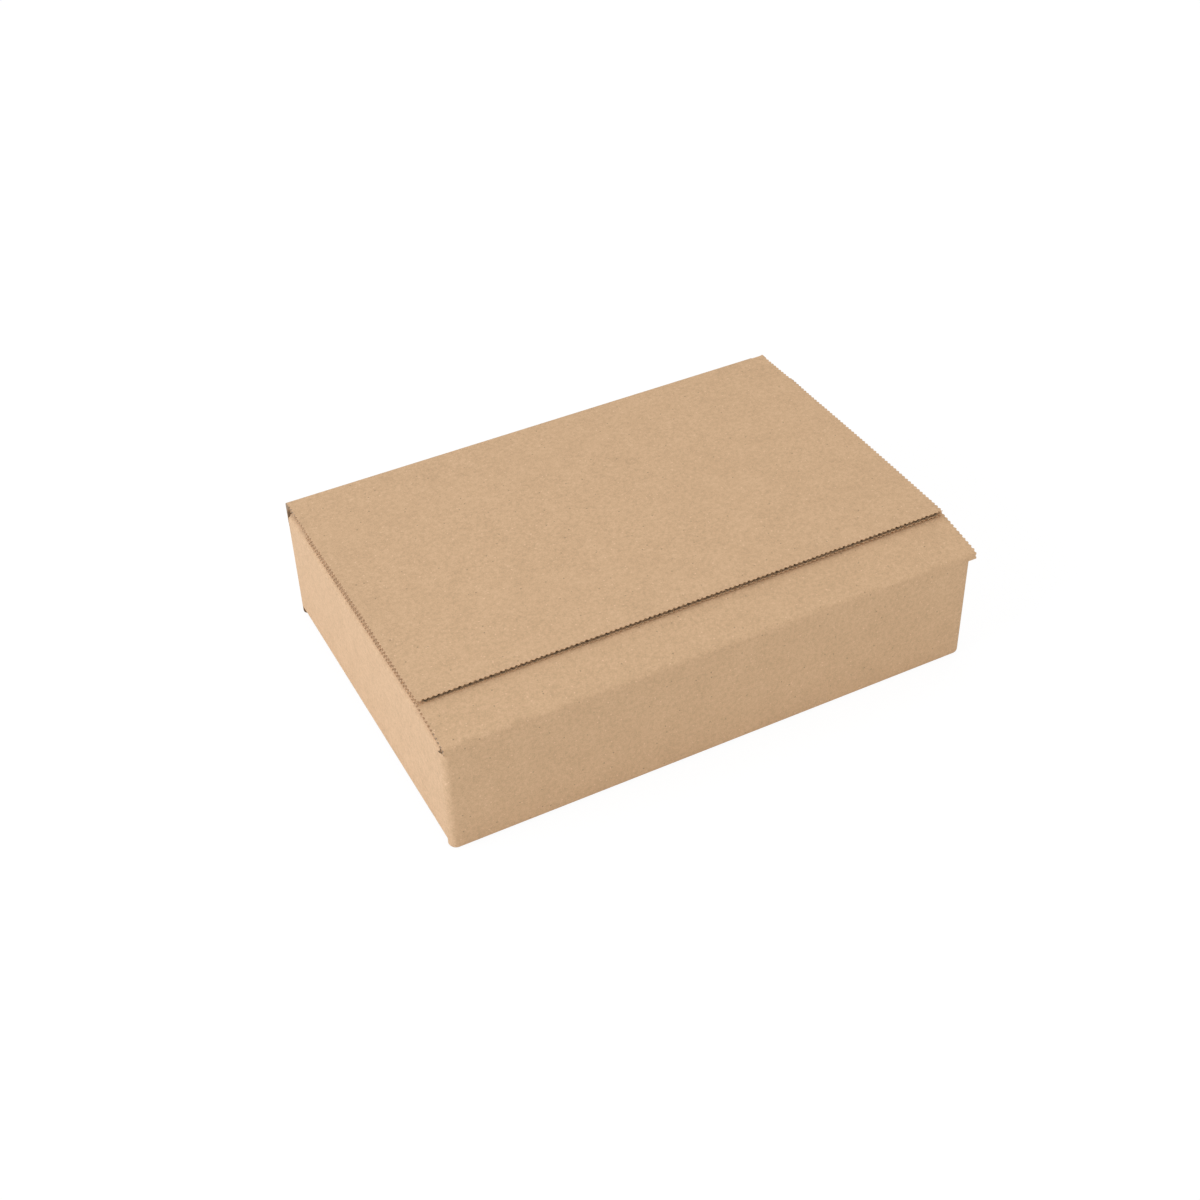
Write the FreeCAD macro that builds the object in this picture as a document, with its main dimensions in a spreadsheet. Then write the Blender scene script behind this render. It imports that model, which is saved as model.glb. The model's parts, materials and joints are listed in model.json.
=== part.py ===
import FreeCAD, Part
import os
import Sketcher

# A closed corrugated box: one folded sheet with its bottom glued shut, and the outer top flap,
# which swings open about the crease along the top of the back wall.
# X runs along the front, Y from front to back, Z up. Inside each body the origin is the front left
# corner of the walls at the level of the surface that the box stands on.

os.makedirs("parts", exist_ok=True)
doc = FreeCAD.newDocument("closed_box")

# Driving sizes, in millimetres
SIZES = [
    ("length", 352.0, "walls, outside, along X"),
    ("width", 245.0, "walls, outside, along Y"),
    ("board", 3.0, "thickness of the corrugated board"),
    ("corner_fold", 5.0, "outer radius of the upright folds"),
    ("flap_fold", 4.5, "outer radius of the folds between walls and flaps"),
    ("fold_zone", 8.0, "height of wall next to a crease that belongs to the flap's fold"),
    ("fold_lip", 0.5, "wall that the wide inner flap keeps below its fold"),
    ("slot_gap", 2.0, "slot between neighbouring flaps at a corner"),
    ("rest_gap", 0.3, "air between flaps that rest on each other"),
    ("front_crest", 80.0, "top of the fold between front wall and inner flap"),
    ("outer_top", 89.0, "upper face of the outer flap"),
    ("inner_knee", 36.0, "distance from the front where the inner flap levels out"),
    ("knee_bend", 30.0, "inner radius of that easy bend"),
    ("inner_depth", 211.0, "front wall to the free edge of the inner flap"),
    ("inner_width", 354.0, "inner flap along X"),
    ("inner_start", 1.0, "left edge of the inner flap from the left wall's face"),
    ("outer_depth", 211.0, "back wall to the free edge of the outer flap"),
    ("outer_width", 352.0, "outer flap along X"),
    ("outer_start", 1.0, "left edge of the outer flap from the left wall's face"),
    ("side_reach", 110.0, "side walls to the free edges of their top flaps"),
    ("base_reach", 118.0, "side walls to the free edges of their bottom flaps"),
    ("base_seam", 1.0, "gap where the two long bottom flaps meet"),
    ("base_inset", 3.0, "ends of the long bottom flaps from the side walls' faces"),
    ("tab_reach", 35.0, "glue tab inside the back wall, along X"),
    ("tab_fold", 3.5, "outer radius of the fold between right wall and glue tab"),
    ("seam_step", 0.5, "cut end of the back wall from the tab's fold"),
    ("hinge_gap", 0.4, "air between the flap's and the wall's rounded ends at the crease"),
    ("liner", 0.35, "thickness of each flat liner"),
    ("medium", 0.35, "thickness of the fluted paper at its crests"),
    ("flute_pitch", 6.67, "one wave of the fluted paper"),
    ("flute_crest", 1.2, "width of a flute's crest, outside"),
    ("flute_margin", 4.0, "board left solid at each side edge of a flap"),
    ("crush_zone", 12.0, "board pressed flat next to a crease"),
]


class Size:
    """A length that carries its number and its formula in the sheet, so both come from one line."""

    def __init__(self, value, formula):
        self.value = value
        self.formula = formula

    @staticmethod
    def of(thing):
        if isinstance(thing, Size):
            return thing
        return Size(float(thing), repr(float(thing)))

    def join(self, other, sign, value):
        return Size(value, "(" + self.formula + " " + sign + " " + other.formula + ")")

    def __add__(self, other):
        other = Size.of(other)
        return self.join(other, "+", self.value + other.value)

    def __sub__(self, other):
        other = Size.of(other)
        return self.join(other, "-", self.value - other.value)

    def __mul__(self, other):
        other = Size.of(other)
        return self.join(other, "*", self.value * other.value)

    def __truediv__(self, other):
        other = Size.of(other)
        return self.join(other, "/", self.value / other.value)

    def __rsub__(self, other):
        return Size.of(other) - self

    __radd__ = __add__
    __rmul__ = __mul__


def fill_sheet():
    """The driving sizes in a spreadsheet, one named cell each."""
    sheet = doc.addObject("Spreadsheet::Sheet", "Sizes")
    for row, (name, value, meaning) in enumerate(SIZES, start=1):
        sheet.set("A" + str(row), name)
        sheet.set("B" + str(row), str(value))
        sheet.set("C" + str(row), meaning)
        sheet.setAlias("B" + str(row), name)
    doc.recompute()
    return {name: Size(value, "Sizes." + name) for name, value, _ in SIZES}


ALONG_X = FreeCAD.Vector(1, 0, 0)
ALONG_Y = FreeCAD.Vector(0, 1, 0)
ALONG_Z = FreeCAD.Vector(0, 0, 1)

size = fill_sheet()
length = size["length"]
width = size["width"]
board = size["board"]

# Places that several pieces share
FLOOR = Size.of(0)
outer_under = size["outer_top"] - board
inner_top = outer_under - size["rest_gap"]
inner_under = inner_top - board
side_top = inner_under - size["rest_gap"]
outer_edge = width - size["outer_depth"]
ring_low = board + size["flap_fold"]
ring_high = size["front_crest"] - size["fold_zone"]
slot_front = board + size["slot_gap"]
slot_back = width - slot_front
crease_height = size["outer_top"] - board / 2
crease_place = width - board / 2
wall_round = crease_height - board - size["hinge_gap"]
panel_end = length - size["tab_fold"] - size["seam_step"]
rise = (inner_top - size["front_crest"]) / (size["inner_knee"] - board)


def new_body(name):
    """A body whose frame is shifted so that the whole box stands centred on the origin."""
    body = doc.addObject("PartDesign::Body", name)
    body.Label = name
    right_edge = size["inner_start"] + size["inner_width"]
    body.setExpression("Placement.Base.x", "-" + (right_edge / 2).formula)
    body.setExpression("Placement.Base.y", "-" + (width / 2).formula)
    return body


def new_sketch(body, name, plane, height):
    """An empty sketch on one of the body's own planes, or at a height above it along its normal."""
    sketch = body.newObject("Sketcher::SketchObject", name)
    planes = {feature.Role: feature for feature in body.Origin.OriginFeatures}
    sketch.AttachmentSupport = [(planes[plane], "")]
    sketch.MapMode = "FlatFace"
    sketch.setExpression("AttachmentOffset.Base.z", height.formula)
    return sketch


def draw_loop(sketch, name, corners, arcs=None):
    """One closed outline, drawn counterclockwise. Every corner is dimensioned from the origin by
    the sheet. The side that follows a corner named in arcs is an arc about the centre given there."""
    corners = [(Size.of(u), Size.of(v)) for u, v in corners]
    arcs = arcs or {}
    points = [FreeCAD.Vector(u.value, v.value, 0) for u, v in corners]
    first = sketch.GeometryCount
    count = len(points)

    def dimension(label, axis, line, vertex, place):
        rule = Sketcher.Constraint("Distance" + axis, -1, 1, line, vertex, place.value)
        sketch.renameConstraint(sketch.addConstraint(rule), label + axis)
        sketch.setExpression("Constraints." + label + axis, place.formula)

    # An arc runs counterclockwise however it is drawn, so its first vertex may be its far end
    heads = []
    for index, start in enumerate(points):
        end = points[(index + 1) % count]
        heads.append(1)
        if index in arcs:
            centre = FreeCAD.Vector(arcs[index][0].value, arcs[index][1].value, 0)
            bulge = (start + end) / 2 - centre
            if bulge.Length < 0.5 * (start - centre).Length:
                bulge = (end - start).cross(ALONG_Z)
            if (start - centre).cross(end - centre).z < -0.01:
                heads[index] = 2
            bulge.normalize()
            sketch.addGeometry(Part.Arc(start, centre + bulge * (start - centre).Length, end))
        else:
            sketch.addGeometry(Part.LineSegment(start, end))
    for index, start in enumerate(points):
        line = first + index
        after = (index + 1) % count
        rule = Sketcher.Constraint("Coincident", line, 3 - heads[index], first + after, heads[after])
        sketch.addConstraint(rule)
        dimension(name + str(index), "X", line, heads[index], corners[index][0])
        dimension(name + str(index), "Y", line, heads[index], corners[index][1])
        if index in arcs:
            level = abs((points[after] - start).y) < 0.01
            axis, place = ("Y", arcs[index][1]) if level else ("X", arcs[index][0])
            dimension(name + str(index) + "_centre", axis, line, 3, place)


def pad(body, sketch, depth, slope=None):
    """Board grown from an outline, towards +X, +Y or +Z. A slope shears it upwards as it goes."""
    feature = body.newObject("PartDesign::Pad", sketch.Label + "_pad")
    feature.Profile = sketch
    feature.setExpression("Length", depth.formula)
    feature.Reversed = sketch.AttachmentSupport[0][0].Role == "XZ_Plane"
    if slope is not None:
        feature.UseCustomVector = True
        feature.Reversed = False
        feature.Direction = FreeCAD.Vector(0, 1, slope.value)
        feature.setExpression("Direction.z", slope.formula)
        feature.AlongSketchNormal = True
    doc.recompute()
    return feature


def cut_row(body, sketch, depth, pitch, count, backwards):
    """A pocket from an outline, repeated at a pitch along X."""
    before = body.Tip.Shape.Volume
    pocket = body.newObject("PartDesign::Pocket", sketch.Label + "_cut")
    pocket.Profile = sketch
    pocket.Reversed = backwards
    pocket.setExpression("Length", depth.formula)
    doc.recompute()
    if not before - pocket.Shape.Volume > 0:
        raise RuntimeError(sketch.Label + " cuts nothing")
    row = body.newObject("PartDesign::LinearPattern", sketch.Label + "_row")
    row.Originals = [pocket]
    row.Direction = (sketch, ["H_Axis"])
    row.Mode = "Spacing"
    row.setExpression("Offset", pitch.formula)
    row.setExpression("Occurrences", count.formula)
    body.Tip = row
    doc.recompute()
    return row


def edges_where(shape, along, test):
    """Names of the straight edges that run along a direction and whose both ends pass a test."""
    names = []
    for number, edge in enumerate(shape.Edges, start=1):
        if not isinstance(edge.Curve, (Part.Line, Part.LineSegment)):
            continue
        run = edge.tangentAt(edge.FirstParameter)
        if abs(run.dot(along)) > 0.99 and all(test(corner.Point) for corner in edge.Vertexes):
            names.append("Edge" + str(number))
    return names


def round_folds(body, name, radius, along, test):
    """Fillet the edges that pass a test, with a radius from the sheet."""
    base = body.Tip
    names = edges_where(base.Shape, along, test)
    if not names:
        raise RuntimeError(name + " finds no edge")
    feature = body.newObject("PartDesign::Fillet", name)
    feature.Base = (base, names)
    feature.setExpression("Radius", radius.formula)
    doc.recompute()
    return feature


def near(number, place):
    """True where a coordinate lies at a size."""
    return abs(number - Size.of(place).value) < 0.01


def whole(thing):
    """A size rounded down to a whole number, for counts."""
    return Size(float(int(thing.value)), "floor(" + thing.formula + ")")


def cut_flutes(body, name, start, span, middle, edge, depth, backwards):
    """Open flutes in a flap's free edge: two staggered rows of channels with the wavy paper
    between them, from a flap's free edge to the crushed board near its crease."""
    pitch = size["flute_pitch"]
    count = whole((span - size["flute_margin"] * 2) / pitch)
    left = start + (span - pitch * count) / 2
    roof = board / 2 - size["liner"]
    crest = roof - size["medium"]
    wide = size["flute_crest"] / 2 + size["medium"] * 0.8
    narrow = size["flute_crest"] / 2
    sketch = new_sketch(body, name, "XZ_Plane", FLOOR - edge)
    for row, shift, up in (("upper", pitch * 0.25, 1), ("lower", pitch * 0.75, -1)):
        centre = left + shift
        half = pitch / 2 - wide
        corners = [
            (centre - half, middle + roof * up),
            (centre + half, middle + roof * up),
            (centre + narrow, middle - crest * up),
            (centre - narrow, middle - crest * up),
        ]
        draw_loop(sketch, row, corners)
    cut_row(body, sketch, depth, pitch, count - 1, backwards)


def outer_top_flap():
    """The flap hinged on the back wall, which lies over the inner flap and closes the box."""
    body = new_body("outer_top_flap")
    start = size["outer_start"]
    span = size["outer_width"]
    profile = new_sketch(body, "outer_flap_profile", "YZ_Plane", start)
    corners = [
        (outer_edge, outer_under),
        (crease_place, outer_under),
        (crease_place, size["outer_top"]),
        (outer_edge, size["outer_top"]),
    ]
    draw_loop(profile, "flap", corners, arcs={1: (crease_place, crease_height)})
    pad(body, profile, span)
    run = size["outer_depth"] - size["crush_zone"]
    cut_flutes(body, "outer_flutes", start, span, crease_height, outer_edge, run, False)
    return body


def add_inner_flap(body):
    """The flap folded from the front wall: up over the fold, then level under the outer flap."""
    start = size["inner_start"]
    span = size["inner_width"]
    crest = size["front_crest"]
    end = size["inner_depth"]
    knee = size["inner_knee"]
    corner = size["corner_fold"]
    foot = crest - size["flap_fold"] - size["fold_lip"]
    stem = new_sketch(body, "front_wall_top", "YZ_Plane", corner)
    draw_loop(stem, "wall", [(FLOOR, ring_high), (board, ring_high), (board, foot), (FLOOR, foot)])
    pad(body, stem, length - corner * 2)
    profile = new_sketch(body, "inner_flap_profile", "YZ_Plane", start)
    corners = [
        (FLOOR, foot),
        (board, foot),
        (board, crest - board),
        (knee, inner_under),
        (end, inner_under),
        (end, inner_top),
        (knee, inner_top),
        (FLOOR, crest),
    ]
    draw_loop(profile, "flap", corners)
    pad(body, profile, span)
    round_folds(body, "inner_fold_outside", size["flap_fold"], ALONG_X,
                lambda p: near(p.y, FLOOR) and near(p.z, crest))
    round_folds(body, "inner_fold_inside", size["flap_fold"] - board, ALONG_X,
                lambda p: near(p.y, board) and near(p.z, crest - board))
    round_folds(body, "knee_outside", size["knee_bend"] + board, ALONG_X,
                lambda p: near(p.y, knee) and near(p.z, inner_top))
    round_folds(body, "knee_inside", size["knee_bend"], ALONG_X,
                lambda p: near(p.y, knee) and near(p.z, inner_under))


def open_inner_flutes(body):
    """The flutes open in the inner flap's free edge, under the outer flap."""
    end = size["inner_depth"]
    run = end - size["inner_knee"] - size["crush_zone"]
    middle = inner_top - board / 2
    cut_flutes(body, "inner_flutes", size["inner_start"], size["inner_width"], middle, end, run, True)


def add_walls(body):
    """The four walls between their creases, with the glue tab inside the back wall."""
    plan = new_sketch(body, "walls_plan", "XY_Plane", ring_low)
    tab_end = length - board - size["tab_reach"]
    corners = [
        (FLOOR, FLOOR),
        (length, FLOOR),
        (length, width - board),
        (panel_end, width - board),
        (panel_end, width),
        (FLOOR, width),
    ]
    draw_loop(plan, "outside", corners)
    hollow = [
        (board, board),
        (length - board, board),
        (length - board, width - board * 2),
        (tab_end, width - board * 2),
        (tab_end, width - board),
        (board, width - board),
    ]
    draw_loop(plan, "inside", hollow)
    pad(body, plan, ring_high - ring_low)

    def upright(p, spots):
        in_ring = near(p.z, ring_low) or near(p.z, ring_high)
        return in_ring and any(near(p.x, x) and near(p.y, y) for x, y in spots)

    folds = [(FLOOR, FLOOR), (length, FLOOR), (FLOOR, width)]
    insides = [(board, board), (length - board, board), (board, width - board)]
    tab_outside = [(length, width - board)]
    tab_inside = [(length - board, width - board * 2)]
    round_folds(body, "corners_outside", size["corner_fold"], ALONG_Z, lambda p: upright(p, folds))
    round_folds(body, "corners_inside", size["corner_fold"] - board, ALONG_Z, lambda p: upright(p, insides))
    round_folds(body, "tab_outside", size["tab_fold"], ALONG_Z, lambda p: upright(p, tab_outside))
    round_folds(body, "tab_inside", size["tab_fold"] - board, ALONG_Z, lambda p: upright(p, tab_inside))


def add_back_crease(body):
    """The top of the back wall, with a rounded end on which the outer flap's crease turns."""
    profile = new_sketch(body, "back_crease_profile", "YZ_Plane", size["outer_start"])
    corners = [
        (width - board, ring_high),
        (width, ring_high),
        (width, wall_round),
        (width - board, wall_round),
    ]
    draw_loop(profile, "wall", corners, arcs={2: (crease_place, wall_round)})
    pad(body, profile, panel_end - size["outer_start"])


def folded_edge(face, inward, foot, crest, reach):
    """Outline of a wall's end, its fold and its flap, seen along the fold, with the flap inwards.
    The wall starts at height foot, and crest is the outer face of the flap."""
    up = 1 if crest.value > foot.value else -1
    skin = face + board * inward
    outside = size["flap_fold"]
    inside = outside - board
    middle = (face + outside * inward, crest - outside * up)
    corners = [
        (face, foot),
        (face, crest - outside * up),
        (face + outside * inward, crest),
        (reach, crest),
        (reach, crest - board * up),
        (skin + inside * inward, crest - board * up),
        (skin, crest - outside * up),
        (skin, foot),
    ]
    return corners, {1: middle, 5: middle}


def add_side_flaps(body, side, face, inward, back):
    """One short wall's top and bottom flaps. The inner flap presses the front of the top one down."""
    reach = face + size["side_reach"] * inward
    base_reach = face + size["base_reach"] * inward
    knee = size["inner_knee"]
    foot = side_top - size["fold_zone"] * 2

    level = new_sketch(body, side + "_top_flap", "XZ_Plane", FLOOR - knee)
    corners, arcs = folded_edge(face, inward, foot, side_top, reach)
    draw_loop(level, "flap", corners, arcs)
    pad(body, level, back - knee)

    pressed = knee - slot_front
    low_crest = side_top - rise * pressed
    front = new_sketch(body, side + "_top_flap_front", "XZ_Plane", FLOOR - slot_front)
    corners, arcs = folded_edge(face, inward, low_crest - size["fold_zone"] * 2, low_crest, reach)
    draw_loop(front, "flap", corners, arcs)
    pad(body, front, pressed, rise)

    low = new_sketch(body, side + "_bottom_flap", "XZ_Plane", FLOOR - slot_front)
    corners, arcs = folded_edge(face, inward, ring_low + board, board, base_reach)
    draw_loop(low, "flap", corners, arcs)
    pad(body, low, back - slot_front)


def add_long_bottom_flap(body, side, face, inward, start, end):
    """A long wall's bottom flap, glued on under the short walls' flaps and meeting its twin."""
    reach = face + (width - size["base_seam"]) / 2 * inward
    profile = new_sketch(body, side + "_bottom_flap", "YZ_Plane", start)
    corners, arcs = folded_edge(face, inward, ring_low, FLOOR, reach)
    draw_loop(profile, "flap", corners, arcs)
    pad(body, profile, end - start)


def folded_box():
    """The sheet: four walls, glue tab, bottom flaps, short top flaps and the inner top flap."""
    body = new_body("folded_box")
    add_walls(body)
    add_inner_flap(body)
    add_back_crease(body)
    add_side_flaps(body, "left", FLOOR, 1, slot_back)
    add_side_flaps(body, "right", length, -1, slot_back - board)
    inset = size["base_inset"]
    add_long_bottom_flap(body, "front", FLOOR, 1, inset, length - inset)
    add_long_bottom_flap(body, "back", width, -1, inset, panel_end)
    open_inner_flutes(body)
    return body


def check_and_write(bodies):
    """Stop on any failed feature or shape, and only then write one file for each piece."""
    doc.recompute()
    for thing in doc.Objects:
        if {"Invalid", "Error"} & set(thing.State):
            raise RuntimeError(thing.Name + " failed: " + str(thing.State))
    for body in bodies:
        shape = body.Shape
        if shape.isNull() or not shape.isValid() or len(shape.Solids) != 1:
            raise RuntimeError(body.Label + " is not one valid solid")
    for body in bodies:
        body.Shape.exportStep("parts/" + body.Label + ".step")
        box = body.Shape.BoundBox
        print(body.Label, "volume", round(body.Shape.Volume), "faces", len(body.Shape.Faces), box)


check_and_write([outer_top_flap(), folded_box()])
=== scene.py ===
# %% [markdown]
# # A closed cardboard box
# This lesson dresses a low shipping box of brown corrugated board. The real box is a single sheet:
# it is cut with a toothed blade, creased, folded, and glued shut underneath. Its widest flap folds over
# from the back and only rests on the flap below it, so it can swing open at its crease.
#
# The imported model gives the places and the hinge. Here each stretch of board is drawn flat, with its
# toothed edges, and is then folded by a rule, which is how the real one is made.

# %% Load the fixed frame
import bpy
import bmesh
import json
import math
import random
from mathutils import Matrix, Vector, noise
from mathutils.geometry import delaunay_2d_cdt

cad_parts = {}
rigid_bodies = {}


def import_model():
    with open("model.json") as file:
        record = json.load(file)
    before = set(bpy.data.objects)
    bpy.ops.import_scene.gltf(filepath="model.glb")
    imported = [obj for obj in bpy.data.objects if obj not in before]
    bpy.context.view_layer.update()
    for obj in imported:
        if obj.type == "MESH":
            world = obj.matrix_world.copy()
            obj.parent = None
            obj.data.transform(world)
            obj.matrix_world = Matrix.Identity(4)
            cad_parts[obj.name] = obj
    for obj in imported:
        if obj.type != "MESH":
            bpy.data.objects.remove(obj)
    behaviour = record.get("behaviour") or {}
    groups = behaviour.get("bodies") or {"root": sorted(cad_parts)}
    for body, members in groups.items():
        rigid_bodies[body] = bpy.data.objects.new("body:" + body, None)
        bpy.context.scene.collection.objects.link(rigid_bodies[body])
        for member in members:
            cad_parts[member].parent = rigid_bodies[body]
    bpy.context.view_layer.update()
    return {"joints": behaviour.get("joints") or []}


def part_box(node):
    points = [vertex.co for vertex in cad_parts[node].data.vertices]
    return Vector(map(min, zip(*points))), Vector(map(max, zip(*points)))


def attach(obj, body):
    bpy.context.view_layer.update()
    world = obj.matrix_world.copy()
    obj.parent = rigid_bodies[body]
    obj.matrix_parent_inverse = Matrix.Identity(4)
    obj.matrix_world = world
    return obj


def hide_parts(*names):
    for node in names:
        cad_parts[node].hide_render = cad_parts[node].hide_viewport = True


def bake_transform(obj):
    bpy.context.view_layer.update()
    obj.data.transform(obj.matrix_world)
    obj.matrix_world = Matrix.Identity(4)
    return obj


for thing in list(bpy.data.objects):
    bpy.data.objects.remove(thing)
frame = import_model()

# %% [markdown]
# ## Sizes
# The frame tells where the walls stand, how high the flaps lie and where the crease turns. The rest are the
# sizes of the board, of its folds and of how far each flap reaches. The board is B flute, which is 3 mm
# thick with a wave every 6.67 mm, and the blade's teeth are 3.175 mm apart.

# %% Sizes of the box and its board
MM = 0.001
BOARD = 3.0 * MM
LINER = 0.45 * MM
PAPER = 0.25 * MM
FLUTE_PITCH = 6.67 * MM
TOOTH_PITCH = 3.175 * MM
TOOTH_DEPTH = 0.8 * MM
WALL_LENGTH = 352 * MM
CORNER_FOLD = 5.0 * MM
FLAP_FOLD = 4.5 * MM
TIGHT_FOLD = 3.2 * MM
FRONT_FOLD = 3.4 * MM
FRONT_CREST = 80 * MM
KNEE = 36 * MM
KNEE_BEND = 33 * MM
WALL_LOW = 7.5 * MM
WALL_HIGH = 72 * MM
FLAP_ROOT = 75 * MM
LONG_BASE_REACH = 122 * MM
SHORT_BASE_REACH = 118 * MM
TOP_REACH = 211 * MM
SIDE_REACH = 110 * MM
EDGE_INSET = 1 * MM

box_low, box_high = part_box("folded_box")
flap_low, flap_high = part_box("outer_top_flap")
x_left = box_low.x
x_right = x_left + WALL_LENGTH
y_front = box_low.y
y_back = box_high.y
inner_top = box_high.z
outer_top = flap_high.z
side_top = inner_top - BOARD - 0.3 * MM
hinge = Vector(frame["joints"][0]["pos_m"])
print("outside, mm:", [round(v / MM, 1) for v in (x_right - x_left, y_back - y_front, outer_top)])

# %% [markdown]
# ## The camera
# The camera stands in front of the box, to its left and well above it. It is set by where it looks, how
# far away it stands and from which side, so that each number can be changed by itself.

# %% Camera
LOOK_AT = Vector((-0.0052, 0.0260, 0.0084))
CAMERA_DISTANCE = 1.189
CAMERA_AZIMUTH = -26.338
CAMERA_ELEVATION = 39.770
CAMERA_ROLL = -1.845
LENS = 54.557


def place_camera():
    """A camera on a circle round the box, turned to look at one point of it."""
    turn, rise = math.radians(CAMERA_AZIMUTH), math.radians(CAMERA_ELEVATION)
    back = Vector((math.sin(turn) * math.cos(rise), -math.cos(turn) * math.cos(rise), math.sin(rise)))
    data = bpy.data.cameras.new("camera")
    data.sensor_width = 36
    data.lens = LENS
    camera = bpy.data.objects.new("camera", data)
    bpy.context.scene.collection.objects.link(camera)
    camera.rotation_mode = "QUATERNION"
    upright = (-back).to_track_quat("-Z", "Y")
    roll = Matrix.Rotation(math.radians(CAMERA_ROLL), 3, "Z").to_quaternion()
    camera.rotation_quaternion = upright @ roll
    camera.location = LOOK_AT + back * CAMERA_DISTANCE
    bpy.context.scene.camera = camera
    return camera


camera = place_camera()
print("camera at", [round(v, 4) for v in camera.location])

# %% [markdown]
# ## Numbers on wires
# Both the waves of the board and the look of the paper are worked out by nodes. A small class lets a
# node's output be used like a number, so that a formula stays readable and each operator adds its node.

# %% Helpers for node trees
class Wire:
    """One output of a node. Arithmetic on it adds Math nodes to its tree."""

    def __init__(self, graph, socket):
        self.graph = graph
        self.socket = socket

    def __add__(self, other):
        return self.graph.math("ADD", self, other)

    def __sub__(self, other):
        return self.graph.math("SUBTRACT", self, other)

    def __rsub__(self, other):
        return self.graph.math("SUBTRACT", other, self)

    def __mul__(self, other):
        return self.graph.math("MULTIPLY", self, other)

    def __truediv__(self, other):
        return self.graph.math("DIVIDE", self, other)

    __radd__ = __add__
    __rmul__ = __mul__


class Graph:
    """A node tree that is written from Python."""

    def __init__(self, tree):
        self.tree = tree

    def node(self, kind, sockets=None, stops=None, **settings):
        """Any node: its settings first, then the values or wires of its sockets."""
        made = self.tree.nodes.new(kind)
        for name, value in settings.items():
            setattr(made, name, value)
        for index, (place, colour) in enumerate(stops or []):
            stop = made.color_ramp.elements[index] if index < 2 else made.color_ramp.elements.new(place)
            stop.position = place
            stop.color = colour
        for key, value in (sockets or {}).items():
            if isinstance(value, Wire):
                self.tree.links.new(value.socket, made.inputs[key])
            else:
                made.inputs[key].default_value = value
        return made

    def wire(self, kind, output, sockets=None, **settings):
        """The wire that leaves one output of a new node."""
        return Wire(self, self.node(kind, sockets, **settings).outputs[output])

    def math(self, operation, *values):
        return self.wire("ShaderNodeMath", 0, dict(enumerate(values)), operation=operation)


# %% [markdown]
# ## The fluted paper
# Between its two flat liners the board holds a wavy sheet. It repeats, so Geometry Nodes make it: a flat
# box of paper is cut into fine columns, and each column is lifted to its place on a cosine and leaned over
# so that the paper keeps its thickness on the slopes.

# %% A node tree for the wave
SAMPLES = 10


def wave_tree(material):
    """Geometry nodes for a fluted sheet, centred on the origin, with its waves running across X."""
    tree = bpy.data.node_groups.new("fluted_sheet", "GeometryNodeTree")
    face = tree.interface
    sizes = [("Waves", "NodeSocketInt"), ("Rows", "NodeSocketInt"), ("Depth", "NodeSocketFloat"),
             ("Pitch", "NodeSocketFloat"), ("Height", "NodeSocketFloat"), ("Paper", "NodeSocketFloat")]
    for name, kind in sizes:
        face.new_socket(name, in_out="INPUT", socket_type=kind)
    face.new_socket("Geometry", in_out="OUTPUT", socket_type="NodeSocketGeometry")
    graph = Graph(tree)
    given = graph.node("NodeGroupInput")
    size = {name: Wire(graph, given.outputs[name]) for name, _ in sizes}
    block = graph.wire("ShaderNodeCombineXYZ", 0, {
        0: size["Waves"] * size["Pitch"], 1: size["Depth"], 2: size["Paper"]})
    cut = graph.wire("GeometryNodeMeshCube", 0, {
        "Size": block, "Vertices X": size["Waves"] * SAMPLES + 1, "Vertices Y": size["Rows"], "Vertices Z": 2})
    place = graph.wire("GeometryNodeInputPosition", 0)
    axes = graph.node("ShaderNodeSeparateXYZ", {0: place})
    x, y, z = (Wire(graph, axes.outputs[index]) for index in range(3))
    rate = graph.math("DIVIDE", 2 * math.pi, size["Pitch"])
    swing = size["Height"] * 0.5
    lift = swing * graph.math("COSINE", x * rate)
    slope = swing * rate * graph.math("SINE", x * rate) * -1
    lean = graph.math("SQRT", slope * slope + 1)
    moved = graph.wire("ShaderNodeCombineXYZ", 0, {0: x - z * slope / lean, 1: y, 2: lift + z / lean})
    waved = graph.wire("GeometryNodeSetPosition", 0, {"Geometry": cut, "Position": moved})
    real = graph.wire("GeometryNodeRealizeInstances", 0, {"Geometry": waved})
    painted = graph.wire("GeometryNodeSetMaterial", 0, {"Geometry": real, "Material": material})
    graph.node("NodeGroupOutput", {"Geometry": painted})
    return tree


def fluted_sheet(tree, waves, rows, depth):
    """Vertices and faces of one fluted sheet, read back from the evaluated nodes."""
    carrier = bpy.data.objects.new("carrier", bpy.data.meshes.new("carrier"))
    bpy.context.scene.collection.objects.link(carrier)
    modifier = carrier.modifiers.new("wave", "NODES")
    modifier.node_group = tree
    values = {"Waves": waves, "Rows": rows, "Depth": depth, "Pitch": FLUTE_PITCH,
              "Height": BOARD - LINER * 2 - PAPER, "Paper": PAPER}
    for item in tree.interface.items_tree:
        if item.in_out == "INPUT":
            modifier[item.identifier] = values[item.name]
    graph = bpy.context.evaluated_depsgraph_get()
    mesh = bpy.data.meshes.new_from_object(carrier.evaluated_get(graph))
    vertices = [v.co.copy() for v in mesh.vertices]
    faces = [tuple(p.vertices) for p in mesh.polygons]
    bpy.data.objects.remove(carrier)
    bpy.data.meshes.remove(mesh)
    return vertices, faces


# %% [markdown]
# ## Kraft paper
# Recycled kraft is matt and brown, with cloudy mottling, short fibres and a scatter of dark and pale
# specks. All of it is worked out from the place that a point had before any flap moved. That place is kept
# on the mesh, so the pattern stays on the paper when the flap opens.

# %% Paper materials
KRAFT = (0.668, 0.438, 0.250)
CORE = (0.30, 0.205, 0.125)
# The fluted paper's colour is its own brown, darkened to about half the liner so that the open flutes show near-black:
# partly real colour, partly painted shade for the inside of the flutes.
FLUTED_WITH_PAINTED_SHADE = (0.34, 0.235, 0.14)


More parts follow.
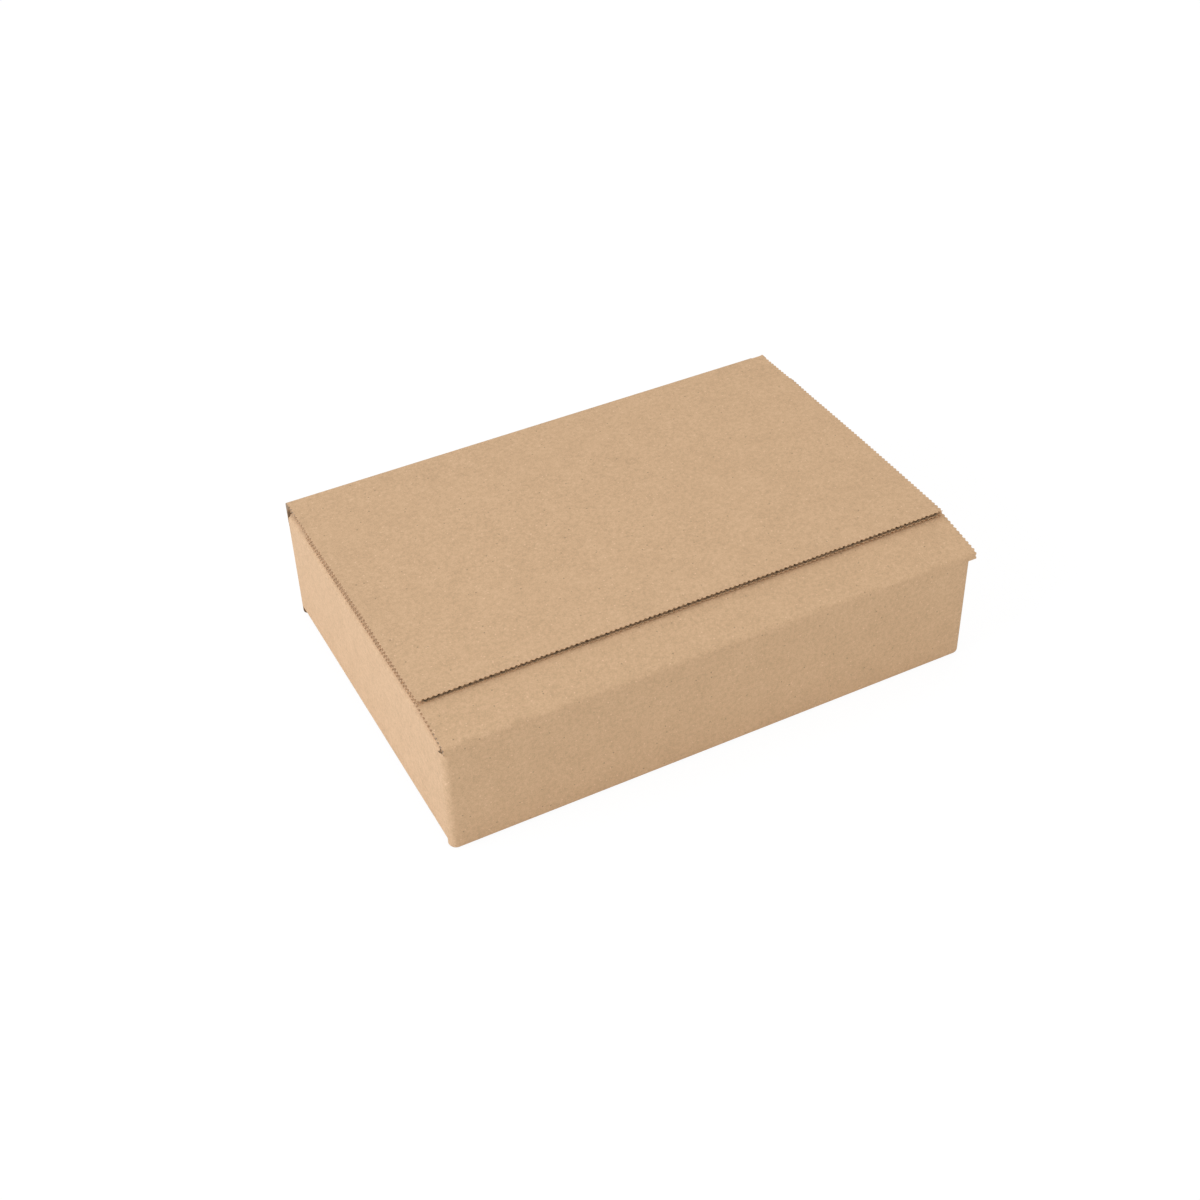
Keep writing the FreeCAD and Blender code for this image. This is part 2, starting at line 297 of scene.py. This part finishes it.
def tint(graph, colour, factor, target):
    """A colour moved towards another by a factor that may vary over the surface."""
    mix = graph.node("ShaderNodeMix", data_type="RGBA", blend_type="MIX", clamp_factor=True)
    for socket, value in ((mix.inputs[0], factor), (mix.inputs[6], colour), (mix.inputs[7], target)):
        if isinstance(value, Wire):
            graph.tree.links.new(value.socket, socket)
        else:
            socket.default_value = (*value, 1.0)
    return Wire(graph, mix.outputs[2])


def noise_of(graph, place, size, detail=2.0, roughness=0.5):
    """Noise whose blotches measure about the given size."""
    return graph.wire("ShaderNodeTexNoise", 0, {
        "Vector": place, "Scale": 1 / size, "Detail": detail, "Roughness": roughness})


def specks(graph, place, spacing, radius, share):
    """A mask of small round specks: one in each cell of a foam, and only in some of the cells."""
    foam = graph.node("ShaderNodeTexVoronoi", {"Vector": place, "Scale": 1 / spacing}, feature="F1")
    distance = Wire(graph, foam.outputs["Distance"])
    chance = graph.node("ShaderNodeSeparateColor", {0: Wire(graph, foam.outputs["Color"])})
    kept = graph.math("GREATER_THAN", share, Wire(graph, chance.outputs[0]))
    near = graph.wire("ShaderNodeMapRange", 0, {
        0: distance, 1: radius / spacing * 0.55, 2: radius / spacing, 3: 1.0, 4: 0.0})
    return near * kept


def paper(name, colour, contrast):
    """A matt paper of one colour, with its mottling, fibres and specks."""
    material = bpy.data.materials.new(name)
    material.use_nodes = True
    material.node_tree.nodes.clear()
    graph = Graph(material.node_tree)
    place = graph.wire("ShaderNodeAttribute", 1, attribute_name="rest_place")
    clouds = noise_of(graph, place, 16 * MM, 3.0)
    mottle = noise_of(graph, place, 2.6 * MM, 3.0, 0.6)
    grain = noise_of(graph, place, 0.8 * MM, 2.0, 0.6)
    shade = (clouds - 0.5) * 0.30 + (mottle - 0.5) * 0.85 + (grain - 0.5) * 0.95
    dark = graph.math("MAXIMUM", 0.0, shade * -1) * contrast
    light = graph.math("MAXIMUM", 0.0, shade) * contrast
    deep = tuple(c * 0.45 for c in colour)
    pale = tuple(min(1.0, c * 1.25 + 0.10) for c in colour)
    mixed = tint(graph, colour, dark, deep)
    mixed = tint(graph, mixed, light, pale)
    mixed = tint(graph, mixed, specks(graph, place, 5.0 * MM, 0.6 * MM, 0.45) * 0.60, tuple(c * 0.3 for c in colour))
    mixed = tint(graph, mixed, specks(graph, place, 3.6 * MM, 0.6 * MM, 0.45) * 0.55, pale)
    bump = graph.wire("ShaderNodeBump", 0, {
        "Strength": 0.35, "Distance": 0.12 * MM, "Height": mottle * 0.6 + grain * 0.4})
    shader = graph.wire("ShaderNodeBsdfPrincipled", 0, {
        "Base Color": mixed, "Roughness": 0.82 + (mottle - 0.5) * 0.12, "Normal": bump,
        "Specular IOR Level": 0.35})
    graph.node("ShaderNodeOutputMaterial", {0: shader})
    return material


liner_paper = paper("kraft_liner", KRAFT, 1.0)
# The fluted paper carries painted shade: its colour is darkened to stand in for the shade inside the open flutes.
fluted_paper_with_painted_shade = paper("fluted_paper_with_painted_shade", FLUTED_WITH_PAINTED_SHADE, 0.8)
cut_paper = paper("cut_board", CORE, 1.2)
PAPERS = [liner_paper, fluted_paper_with_painted_shade, cut_paper]
LINER_SLOT, FLUTED_SLOT, CUT_SLOT = range(3)
wave = wave_tree(fluted_paper_with_painted_shade)
print("papers:", [material.name for material in PAPERS])

# %% [markdown]
# ## A bent path
# Seen along a fold, a stretch of board is a line with straight runs and rounded bends. The path is
# measured along the outer face of the board, and a depth into the board moves a point along the normal.
# Drawing every piece flat and then bending it keeps both liners parallel through each fold.

# %% The path of a folded strip
class Path:
    """Straight runs joined by arcs, all bent to the same side, which is the inside of the box."""

    def __init__(self, corners, radii, side):
        self.side = side
        self.runs = []
        points = [Vector(corner) for corner in corners]
        start, reached = points[0], 0.0
        for index in range(1, len(points) - 1):
            before = (points[index] - points[index - 1]).normalized()
            after = (points[index + 1] - points[index]).normalized()
            turn = before.angle(after)
            radius = radii[index - 1]
            cut = radius * math.tan(turn / 2)
            end = points[index] - before * cut
            self.runs.append((reached, start, before, 0.0))
            reached += (end - start).length
            self.runs.append((reached, end, before, radius))
            reached += radius * turn
            start = points[index] + after * cut
        self.runs.append((reached, start, (points[-1] - start).normalized(), 0.0))
        self.length = reached + (points[-1] - start).length

    def inward(self, direction):
        return Vector((direction.y, -direction.x)) * self.side

    def place(self, along, depth):
        """The point at a distance along the outer face and at a depth into the board."""
        begun = [run for run in self.runs if run[0] <= along] or self.runs[:1]
        start, point, direction, radius = begun[-1]
        inward = self.inward(direction)
        if radius == 0.0:
            return point + direction * (along - start) + inward * depth
        turned = (along - start) / radius * -self.side
        outward = Matrix.Rotation(turned, 2) @ -inward
        return point + inward * radius + outward * (radius - depth)

    def at_height(self, height):
        """How far along the path its upright run reaches a height."""
        start, point = next(run[:2] for run in self.runs if run[3] == 0.0 and run[2].y > 0.999)
        return start + height - point.y

    def rows(self, low, high, step, bend):
        """Distances at which the strip needs a row: wide apart on the flat, close in the bends."""
        marks = [low, high]
        stops = [run[0] for run in self.runs] + [self.length]
        for run, end in zip(self.runs, stops[1:]):
            spacing = step if run[3] == 0.0 else min(step, run[3] * bend)
            first, last = max(low, run[0]), min(high, end)
            count = max(1, math.ceil((last - first) / spacing))
            if last > first:
                marks += [first + (last - first) * n / count for n in range(count + 1)]
        marks.sort()
        return [m for n, m in enumerate(marks) if n == 0 or m - marks[n - 1] > 0.01 * MM]


front_path = Path([(y_front + LONG_BASE_REACH, 0), (y_front, 0), (y_front, FRONT_CREST),
                   (y_front + KNEE, inner_top), (y_front + TOP_REACH, inner_top)],
                  [TIGHT_FOLD, FRONT_FOLD, KNEE_BEND], 1)
back_path = Path([(y_back - LONG_BASE_REACH, 0), (y_back, 0), (y_back, outer_top), (y_back - TOP_REACH, outer_top)],
                 [TIGHT_FOLD, TIGHT_FOLD], -1)
print("front strip, mm:", round(front_path.length / MM, 1), "back strip, mm:", round(back_path.length / MM, 1))

# %% [markdown]
# ## Toothed edges
# A blade with small flat teeth cuts the board, so every cut edge is a fine zigzag. The outline of each
# flap is drawn with those teeth, and a seed keeps their small differences the same in every run.

# %% Outlines with teeth
def toothed(start, end, seed):
    """Points from start to end, with notches cut to the left of the way that is walked."""
    start, end = Vector(start), Vector(end)
    run = end - start
    count = max(1, round(run.length / TOOTH_PITCH))
    along = run.normalized()
    inwards = Vector((-along.y, along.x))
    pitch = run.length / count
    chance = random.Random(seed)
    points = []
    for tooth in range(count):
        depth = TOOTH_DEPTH * chance.uniform(0.75, 1.1)
        for share, cut in ((0.10, 0.0), (0.38, 0.0), (0.60, depth), (0.88, depth)):
            points.append(start + along * pitch * (tooth + share) + inwards * cut)
    return points


def evenly(low, high, step):
    """Numbers from low to high, about a step apart, without the ends."""
    count = max(2, round((high - low) / step))
    return [low + (high - low) * n / count for n in range(1, count)]


# %% [markdown]
# ## Sheets and pieces
# A sheet is an outline, filled with triangles around a loose grid of inner points, and given two faces at
# two depths in the board with a rim between them. A piece gathers sheets into one mesh. Its broad faces
# take the liner's paper, and its rims take the darker look of cut board.

# %% Build a sheet and a piece
class Piece:
    """Vertices and faces of one finished piece, gathered from sheets and waves."""

    def __init__(self, name):
        self.name = name
        self.vertices = []
        self.faces = []
        self.slots = []

    def add(self, vertices, faces, slot):
        first = len(self.vertices)
        self.vertices += vertices
        self.faces += [tuple(first + corner for corner in face) for face in faces]
        self.slots += [slot] * len(faces)

    def add_sheet(self, outline, rows, columns, depths, fold, margin=1.6 * MM, face_slot=LINER_SLOT,
                  rim_slot=CUT_SLOT):
        """A flat outline filled with triangles, folded, with a face at each depth and a rim between."""
        outline = bendable(outline, rows, columns)
        inner = [Vector((u, s)) for u in columns for s in rows]
        edges = [(a, b) for a, b in zip(outline, outline[1:] + outline[:1])]
        inner = [p for p in inner if inside(p, edges) and clear_of(p, edges, margin)]
        filled = delaunay_2d_cdt(outline + inner, [], [list(range(len(outline)))], 1, 1e-7)
        flat, faces, sources = filled[0], filled[2], filled[3]
        new_place = {old: new for new, olds in enumerate(sources) for old in olds}
        count, first = len(flat), len(self.vertices)
        outer, under = depths
        vertices = [fold(p.x, p.y, outer) for p in flat] + [fold(p.x, p.y, under) for p in flat]
        self.add(vertices, [tuple(f) for f in faces] + [tuple(count + c for c in reversed(f)) for f in faces], face_slot)
        loop = [new_place[n] for n in range(len(outline))]
        rim = [(first + a, first + count + a, first + count + b, first + b) for a, b in zip(loop, loop[1:] + loop[:1])]
        self.faces += rim
        self.slots += [rim_slot] * len(rim)

    def finish(self, body, move=None):
        """A plain mesh object at the origin, with outward faces, that rides on a body."""
        mesh = bpy.data.meshes.new(self.name)
        places = [move(v) if move else v for v in self.vertices]
        mesh.from_pydata(places, [], self.faces)
        for material in PAPERS:
            mesh.materials.append(material)
        mesh.polygons.foreach_set("material_index", self.slots)
        shell = bmesh.new()
        shell.from_mesh(mesh)
        bmesh.ops.recalc_face_normals(shell, faces=shell.faces)
        shell.to_mesh(mesh)
        shell.free()
        mesh.shade_smooth()
        mesh.set_sharp_from_angle(angle=math.radians(38))
        rest = mesh.attributes.new("rest_place", "FLOAT_VECTOR", "POINT")
        rest.data.foreach_set("vector", [c for v in mesh.vertices for c in v.co])
        made = bpy.data.objects.new(self.name, mesh)
        bpy.context.scene.collection.objects.link(made)
        if body:
            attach(made, body)
        print(self.name, "has", len(mesh.polygons), "faces")
        return made


def bendable(outline, rows, columns):
    """The outline with more points on its long edges, so that they bend as the faces beside them do."""
    fuller = []
    for a, b in zip(outline, outline[1:] + outline[:1]):
        run = b - a
        shares = []
        if abs(run.y) > 0.2 * MM:
            shares += [(row - a.y) / run.y for row in rows]
        if abs(run.x) > 5 * MM:
            shares += [(column - a.x) / run.x for column in columns]
        least = 0.05 * MM / max(run.length, 0.1 * MM)
        fuller.append(a)
        fuller += [a + run * share for share in sorted(shares) if least < share < 1 - least]
    return fuller


def inside(point, edges):
    """True where a flat point lies inside a closed outline."""
    crossed = False
    for a, b in edges:
        if (a.y > point.y) != (b.y > point.y):
            if point.x < (b.x - a.x) * (point.y - a.y) / (b.y - a.y) + a.x:
                crossed = not crossed
    return crossed


def clear_of(point, edges, margin):
    """True where a flat point keeps its distance from a closed outline."""
    for a, b in edges:
        if abs(a.x - point.x) > 0.05 and abs(b.x - point.x) > 0.05:
            continue
        run = b - a
        share = max(0.0, min(1.0, (point - a).dot(run) / run.length_squared))
        if (point - a - run * share).length < margin:
            return False
    return True


# %% [markdown]
# ## How the flaps settle
# Board that has been folded is never quite flat. The front fold wanders a little, the wide flap is
# crowned over its depth, and both long flaps are slightly twisted together. Two rules move the points of
# the top, one for the inner flap and the front fold and one for the outer flap, and both take their twist from one
# function.

# %% The settled shape of the top
CROWN = 1.2 * MM
TWIST = 0.9 * MM
TAPER = 2.0 * MM
FOLD_WANDER = 0.8 * MM


def settle_inner(place):
    """The inner flap and the front fold: a wandering fold, and the twist of the top."""
    x, y, z = place
    depth = (y - y_front) / MM
    near_fold = math.exp(-((depth - 2) / 9) ** 2) * max(0.0, min(1.0, (z - WALL_HIGH) / (8 * MM)))
    wander = noise.noise(Vector((x / (26 * MM), 3.1, 0.7))) + 0.5 * noise.noise(Vector((x / (9 * MM), 8.3, 0.2)))
    share = max(0.0, min(1.0, (depth - 8) / 60))
    return Vector((x, y, z + FOLD_WANDER * wander * near_fold + twist_at(x) * share * 0.5))


def twist_at(x):
    """How far the twist lifts the free end of a flap at a place along the box."""
    return TWIST * (x - (x_left + x_right) / 2) / (WALL_LENGTH / 2)


def settle_outer(place):
    """The outer flap: crowned between crease and free edge, and twisted at the free edge."""
    x, y, z = place
    reach = max(0.0, min(1.0, (hinge.y - 6 * MM - y) / (203 * MM)))
    crown = CROWN * 4 * reach * (1 - reach)
    above = max(0.0, min(1.0, (z - (outer_top - 9 * MM)) / (5 * MM)))
    narrow = TAPER * (1 - reach) * above * max(0.0, x / x_right)
    return Vector((x - narrow, y, z + crown + twist_at(x) * reach))


# %% [markdown]
# ## The walls
# The four walls are one band that runs round the box, with a soft rounded fold at each upright corner. The
# band stops below the top creases and above the bottom ones, where the flaps' own strips take over. At the
# corners it goes on, because there the folds of two flaps end.

# %% Walls
wall_ring = [(x_left, y_front), (x_right, y_front), (x_right, y_back), (x_left, y_back)]
CORNER_SIGNS = [(-1, -1), (1, -1), (1, 1), (-1, 1)]


def corner_arc(corner, sign_x, sign_y, radius, steps):
    """Outer points and outward directions round one upright fold."""
    centre = Vector((corner[0] - sign_x * radius, corner[1] - sign_y * radius))
    points = []
    for n in range(steps + 1):
        angle = math.pi / 2 * n / steps
        outward = Vector((sign_x * math.cos(angle), sign_y * math.sin(angle)))
        points.append((centre + outward * radius, outward))
    return points


CORNER_STEPS = 10
FLAT_STEP = 20 * MM


def flat_run(start, end, outward):
    """Points between two folds along one wall."""
    start, end = Vector(start), Vector(end)
    count = max(2, round((end - start).length / FLAT_STEP))
    return [(start.lerp(end, n / count), Vector(outward)) for n in range(1, count)]


def band_points():
    """The whole way round the box, counterclockwise from above, starting at the front left fold."""
    outwards = [(0, -1), (1, 0), (0, 1), (-1, 0)]
    arcs = []
    for index, (corner, (sx, sy)) in enumerate(zip(wall_ring, CORNER_SIGNS)):
        arc = corner_arc(corner, sx, sy, CORNER_FOLD, CORNER_STEPS)
        arcs.append(arc if index % 2 == 0 else arc[::-1])
    points = []
    for index, arc in enumerate(arcs):
        points += arc
        points += flat_run(arc[-1][0], arcs[(index + 1) % 4][0][0], outwards[index])
    return points


def band(piece, points, heights, closed, shape):
    """Board between two heights along points in plan, with both liners and closed rims."""
    columns = len(points)
    grid = [shape(point, outward, height, depth) for depth in (0.0, BOARD) for point, outward in points for height in heights]
    levels = len(heights)

    def at(layer, column, level):
        return (layer * columns + column % columns) * levels + level

    faces, rims = [], []
    spans = columns if closed else columns - 1
    for column in range(spans):
        for level in range(levels - 1):
            for layer in (0, 1):
                faces.append((at(layer, column, level), at(layer, column + 1, level),
                              at(layer, column + 1, level + 1), at(layer, column, level + 1)))
        for level in (0, levels - 1):
            rims.append((at(0, column, level), at(0, column + 1, level), at(1, column + 1, level), at(1, column, level)))
    if not closed:
        for column in (0, columns - 1):
            for level in range(levels - 1):
                rims.append((at(0, column, level), at(0, column, level + 1), at(1, column, level + 1), at(1, column, level)))
    piece.add(grid, faces, LINER_SLOT)
    first = len(piece.vertices) - len(grid)
    piece.faces += [tuple(first + corner for corner in face) for face in rims]
    piece.slots += [CUT_SLOT] * len(rims)


def upright(point, outward, height, depth):
    """A point of a straight wall."""
    return Vector((*(point - outward * depth), height))


def foot(point, outward, height, depth):
    """A point of a wall whose foot is rounded under like the bottom folds."""
    if height >= TIGHT_FOLD:
        return upright(point, outward, height, depth)
    angle = math.asin((TIGHT_FOLD - height) / TIGHT_FOLD)
    inset = TIGHT_FOLD - (TIGHT_FOLD - depth) * math.cos(angle)
    level = TIGHT_FOLD - (TIGHT_FOLD - depth) * math.sin(angle)
    return Vector((*(point - outward * inset), level))


walls = Piece("box_walls")
round_box = band_points()
wall_rows = [WALL_LOW + (WALL_HIGH - WALL_LOW) * n / 6 for n in range(7)]
band(walls, round_box, wall_rows, True, upright)
CORNER_TOPS = [76.0 * MM, 76.0 * MM, 82.0 * MM, 82.5 * MM]
for index, (corner, (sx, sy)) in enumerate(zip(wall_ring, CORNER_SIGNS)):
    arc = corner_arc(corner, sx, sy, CORNER_FOLD, CORNER_STEPS)
    band(walls, arc, [WALL_HIGH, (WALL_HIGH + CORNER_TOPS[index]) / 2, CORNER_TOPS[index]], False, upright)
    feet = [TIGHT_FOLD * (1 - math.sin(math.pi / 2 * n / 9)) for n in range(9)][::-1]
    band(walls, arc, feet + [WALL_LOW], False, foot)
box_walls = walls.finish("box")
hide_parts("folded_box")

# %% [markdown]
# ## The front strip
# The inner top flap is the front wall bent over. Its flutes run from front to back, so they open in its
# free edge, and its side edges show the blade's teeth. The board near the crease has been pressed flat and
# is solid there.

# %% Inner top flap
inner_left = x_left + EDGE_INSET
inner_right = box_high.x
wall_in = CORNER_FOLD


def front_fold(u, s, depth):
    y, z = front_path.place(s, depth)
    return Vector((u, y, z))


flap_root = front_path.at_height(FLAP_ROOT)
wall_top = front_path.at_height(WALL_HIGH)


def strip_outline(left, right, root, end, seed):
    """Outline of a flap with teeth on its sides and free edge, walked anticlockwise."""
    outline = [Vector((left, root)), Vector((right, root))]
    outline += toothed((right, root), (right, end), seed)
    outline += [Vector((right, end))]
    outline += toothed((right, end), (left, end), seed + 1)
    outline += [Vector((left, end))]
    outline += toothed((left, end), (left, root), seed + 2)
    return outline


def corrugated_flap(piece, path_fold, left, right, root, end, core_end, rows, seed, step=9 * MM):
    """Two liners with the fluted paper between them, and pressed board near the crease."""
    outline = strip_outline(left, right, root, end, seed)
    columns = evenly(left, right, step)
    for depths in ((0.0, LINER), (BOARD - LINER, BOARD)):
        piece.add_sheet(outline, rows, columns, depths, path_fold, rim_slot=LINER_SLOT)
    inset = TOOTH_DEPTH * 0.7
    core = [Vector((left + inset, root)), Vector((right - inset, root)),
            Vector((right - inset, core_end)), Vector((left + inset, core_end))]
    core_rows = [row for row in rows if row < core_end]
    piece.add_sheet(core, core_rows, columns, (LINER, BOARD - LINER), path_fold, face_slot=CUT_SLOT)
    waves = int((right - left - 2 * inset) / FLUTE_PITCH)
    depth = end - core_end - TOOTH_DEPTH * 0.4
    vertices, faces = fluted_sheet(wave, waves, max(3, round(depth / (14 * MM))), depth)
    middle_u, middle_s = (left + right) / 2, core_end + depth / 2
    placed = [path_fold(middle_u + v.x, middle_s + v.y, BOARD / 2 - v.z) for v in vertices]
    piece.add(placed, faces, FLUTED_SLOT)


inner_flap = Piece("inner_top_flap")
inner_rows = front_path.rows(flap_root, front_path.length, 9 * MM, 0.14)
corrugated_flap(inner_flap, front_fold, inner_left, inner_right, flap_root, front_path.length,
                flap_root + 18 * MM, inner_rows, 11)
stem = [Vector((x_left + wall_in, wall_top)), Vector((x_right - wall_in, wall_top)),
        Vector((x_right - wall_in, flap_root)), Vector((x_left + wall_in, flap_root))]
inner_flap.add_sheet(stem, [], evenly(inner_left, inner_right, 9 * MM), (0.0, BOARD), front_fold)
inner_flap.finish("box", settle_inner)

# %% [markdown]
# ## The short side flaps
# Each short wall bends over into a flap that lies under the inner flap, and its fold shows as a soft band
# above the end panel. The inner flap presses the front part down a little.

# %% Side top flaps
side_front = y_front + CORNER_FOLD
side_back = y_back - CORNER_FOLD
PRESSED = 5.0 * MM


def side_strip(name, face, sign, seed):
    """One short wall's top flap. A strip is measured up the wall and then inwards."""
    path = Path([(0, WALL_HIGH), (0, side_top), (SIDE_REACH, side_top)], [FLAP_FOLD], 1)

    def fold(u, s, depth):
        across, z = path.place(s, depth)
        return Vector((face + sign * across, u, z))

    def press(place):
        front = max(0.0, 1 - (place.y - side_front) / (34 * MM))
        raised = max(0.0, min(1.0, (place.z - WALL_HIGH) / (6 * MM)))
        return place - Vector((0, 0, PRESSED * front * raised))

    piece = Piece(name)
    rows = path.rows(0, path.length, 9 * MM, 0.14)
    corrugated_flap(piece, fold, side_front, side_back, 0.0, path.length, 26 * MM, rows, seed)
    return piece.finish("box", press)


side_strip("side_top_flap_left", x_left, 1, 31)
side_strip("side_top_flap_right", x_right, -1, 41)

# %% [markdown]
# ## The bottom
# Underneath, the two short flaps lie on the two long ones, which meet at a seam along the middle. They are
# glued, so nothing here moves.

# %% Bottom flaps and glue tab
def long_bottom(name, path, low, high, left, right):
    """A long wall's bottom flap, from its free edge at the seam to the foot of the wall."""
    def fold(u, s, depth):
        y, z = path.place(s, depth)
        return Vector((u, y, z))

    piece = Piece(name)
    rows = path.rows(low, high, 12 * MM, 0.14)
    outline = [Vector((left, low)), Vector((right, low)), Vector((right, high)), Vector((left, high))]
    piece.add_sheet(outline, rows, evenly(left, right, 12 * MM), (0.0, BOARD), fold)
    return piece.finish("box")


for name, path in (("long_bottom_flap_front", front_path), ("long_bottom_flap_back", back_path)):
    long_bottom(name, path, 0.0, path.at_height(WALL_LOW), x_left + CORNER_FOLD, x_right - CORNER_FOLD)


def short_bottom(name, face, sign):
    """A short wall's bottom flap, one board above the long ones."""
    path = Path([(SHORT_BASE_REACH, BOARD), (0, BOARD), (0, WALL_LOW + 0.0001 * MM)], [FLAP_FOLD - 0.001 * MM], 1)

    def fold(u, s, depth):
        across, z = path.place(s, depth)
        return Vector((face + sign * across, u, z))

    piece = Piece(name)
    outline = [Vector((side_front, 0)), Vector((side_back, 0)), Vector((side_back, path.length)),
               Vector((side_front, path.length))]
    rows = path.rows(0, path.length, 12 * MM, 0.14)
    piece.add_sheet(outline, rows, evenly(side_front, side_back, 12 * MM), (0.0, BOARD), fold)
    return piece.finish("box")


short_bottom("short_bottom_flap_left", x_left, 1)
short_bottom("short_bottom_flap_right", x_right, -1)

tab = Piece("glue_tab")
tab_line = [(Vector((x_right - 6 * MM - 32 * MM * n / 4, y_back - BOARD)), Vector((0, 1))) for n in range(5)]
band(tab, tab_line, [WALL_LOW + 1 * MM, 40 * MM, WALL_HIGH - 1 * MM], False, upright)
tab.finish("box")

# %% [markdown]
# ## The outer flap and its crease
# The outer flap turns with its own body. The board is not cut at the crease, so a short strip of it runs
# from the wall to the flap.

# %% Outer top flap
outer_left = x_left + EDGE_INSET
outer_right = outer_left + WALL_LENGTH
crease_bend = back_path.runs[3][0]
flap_start = crease_bend + TIGHT_FOLD * math.pi / 2 + 3 * MM


def back_fold(u, s, depth):
    y, z = back_path.place(s, depth)
    return Vector((u, y, z))


outer_flap = Piece("outer_top_flap_board")
outer_rows = back_path.rows(flap_start, back_path.length, 9 * MM, 0.14)
corrugated_flap(outer_flap, back_fold, outer_left, outer_right, flap_start, back_path.length,
                flap_start + 10 * MM, outer_rows, 21)
outer_board = outer_flap.finish("top_flap", settle_outer)
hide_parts("outer_top_flap")

# %% [markdown]
# ## The crease
# The strip along the crease is drawn in one piece from the wall to the flap, in the shape of the closed box.
# It rides on no body, so it stays where it is when the flap turns.

# %% The crease that joins wall and flap
crease = Piece("back_crease")
wall_end = back_path.at_height(WALL_HIGH)
cut_end = x_right - 4 * MM
crease_rows = back_path.rows(wall_end, flap_start, 4 * MM, 0.10)
crease_outline = [Vector((outer_left, wall_end)), Vector((cut_end, wall_end)), Vector((cut_end, crease_bend)),
                  Vector((outer_right, crease_bend)), Vector((outer_right, flap_start)),
                  Vector((outer_left, flap_start))]
crease.add_sheet(crease_outline, crease_rows, evenly(outer_left, outer_right, 9 * MM), (0.0, BOARD), back_fold,
                 margin=0.5 * MM)
crease_board = crease.finish(None, settle_outer)
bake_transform(crease_board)

# %% [markdown]
# ## Light and floor
# The box stands on a white floor in soft light, most of it from the left and above. The floor shows white
# to the camera, but still darkens where the box keeps the light off it.

# %% Floor, world and lamps
def white_for_camera(graph):
    """One where a camera, glossy or transmitted ray arrives, zero for the light that falls on things."""
    path = graph.node("ShaderNodeLightPath")
    seen = [Wire(graph, path.outputs[name]) for name in ("Is Camera Ray", "Is Glossy Ray", "Is Transmission Ray")]
    return graph.math("MINIMUM", 1.0, seen[0] + seen[1] + seen[2])


def make_floor():
    """A wide white floor that keeps the shadow of the box."""
    bpy.ops.mesh.primitive_plane_add(size=8, location=(0, 0, -0.0002))
    floor = bpy.context.object
    floor.name = "floor"
    material = bpy.data.materials.new("white_floor")
    material.use_nodes = True
    material.node_tree.nodes.clear()
    graph = Graph(material.node_tree)
    bounce = graph.wire("ShaderNodeBsdfDiffuse", 0, {"Color": (0.8, 0.8, 0.8, 1)})
    faint = graph.wire("ShaderNodeBsdfDiffuse", 0, {"Color": (0.10, 0.10, 0.10, 1)})
    glow = graph.wire("ShaderNodeEmission", 0, {"Color": (1, 1, 1, 1), "Strength": 0.93})
    shown = graph.wire("ShaderNodeAddShader", 0, {0: faint, 1: glow})
    both = graph.wire("ShaderNodeMixShader", 0, {0: white_for_camera(graph), 1: bounce, 2: shown})
    graph.node("ShaderNodeOutputMaterial", {0: both})
    floor.data.materials.append(material)
    return floor


def make_world(strength):
    """Even light from everywhere, which the camera sees as plain white."""
    world = bpy.data.worlds.new("studio")
    bpy.context.scene.world = world
    world.use_nodes = True
    world.node_tree.nodes.clear()
    graph = Graph(world.node_tree)
    seen = white_for_camera(graph)
    level = graph.wire("ShaderNodeBackground", 0, {"Color": (1, 1, 1, 1), "Strength": seen * (1 - strength) + strength})
    graph.node("ShaderNodeOutputWorld", {0: level})


def soft_lamp(name, place, size, power, colour=(1, 1, 1)):
    """A square lamp that faces the box."""
    data = bpy.data.lights.new(name, "AREA")
    data.size = size
    data.energy = power
    data.color = colour
    lamp = bpy.data.objects.new(name, data)
    bpy.context.scene.collection.objects.link(lamp)
    lamp.location = place
    lamp.rotation_mode = "QUATERNION"
    lamp.rotation_quaternion = (-Vector(place)).to_track_quat("-Z", "Y")
    return lamp


make_floor()
make_world(0.55)
soft_lamp("left_lamp", (-2.2, 0.1, 0.9), 1.6, 34, (0.80, 0.86, 1.0))
soft_lamp("top_lamp", (0.3, 0.6, 2.6), 1.8, 12, (1.0, 0.97, 0.95))
soft_lamp("front_lamp", (0.5, -2.4, 0.7), 1.8, 12)
bpy.context.scene.view_settings.view_transform = "Standard"
print("lamps:", [lamp.name for lamp in bpy.data.lights])
